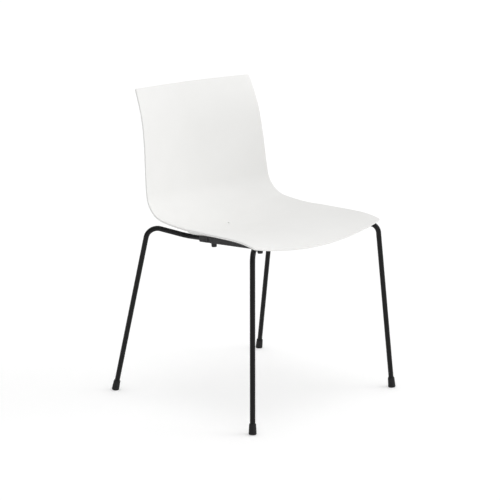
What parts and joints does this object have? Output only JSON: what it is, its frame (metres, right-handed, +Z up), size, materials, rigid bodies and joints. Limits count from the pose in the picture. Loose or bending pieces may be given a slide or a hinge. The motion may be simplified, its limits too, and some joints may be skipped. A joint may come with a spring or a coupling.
{
  "type": "stacking chair",
  "caption": "Stacking chair with a one-piece moulded plastic shell on a bent steel tube frame, with saddles, stacking pegs and foot glides.",
  "frame": {"origin": "on the floor, at the middle of the rectangle that the four feet cover", "axes": "+Z up, -Y the way the sitter faces, X across the seat"},
  "size_m": [0.566, 0.5282, 0.8042],
  "materials": {
    "shell_plastic": "fine-grained moulded polypropylene, warm white",
    "powder_coat": "satin black powder coat on steel tube",
    "saddle_plastic": "dark grey moulded plastic, satin",
    "peg_rubber": "soft dark rubber",
    "glide_plastic": "black moulded plastic, matt",
    "insert_brass": "knurled brass, plain",
    "screw_steel": "black zinc",
    "washer_steel": "plain zinc"
  },
  "bodies": {
    "root": {"seat_shell": "shell_plastic", "seat_pad_left": "shell_plastic", "seat_pad_right": "shell_plastic", "side_frame_left": "powder_coat", "side_frame_right": "powder_coat", "cross_bar_front": "powder_coat", "cross_bar_rear": "powder_coat", "saddle_left": "saddle_plastic", "saddle_right": "saddle_plastic", "clamp_left": "saddle_plastic", "clamp_right": "saddle_plastic", "stack_peg_front_left": "peg_rubber", "stack_peg_front_right": "peg_rubber", "stack_peg_rear_left": "peg_rubber", "stack_peg_rear_right": "peg_rubber", "glide_front_left": "glide_plastic", "glide_front_right": "glide_plastic", "glide_rear_left": "glide_plastic", "glide_rear_right": "glide_plastic", "thread_inserts": "insert_brass", "saddle_screws": "screw_steel", "screw_washers": "washer_steel"}
  },
  "joints": []
}
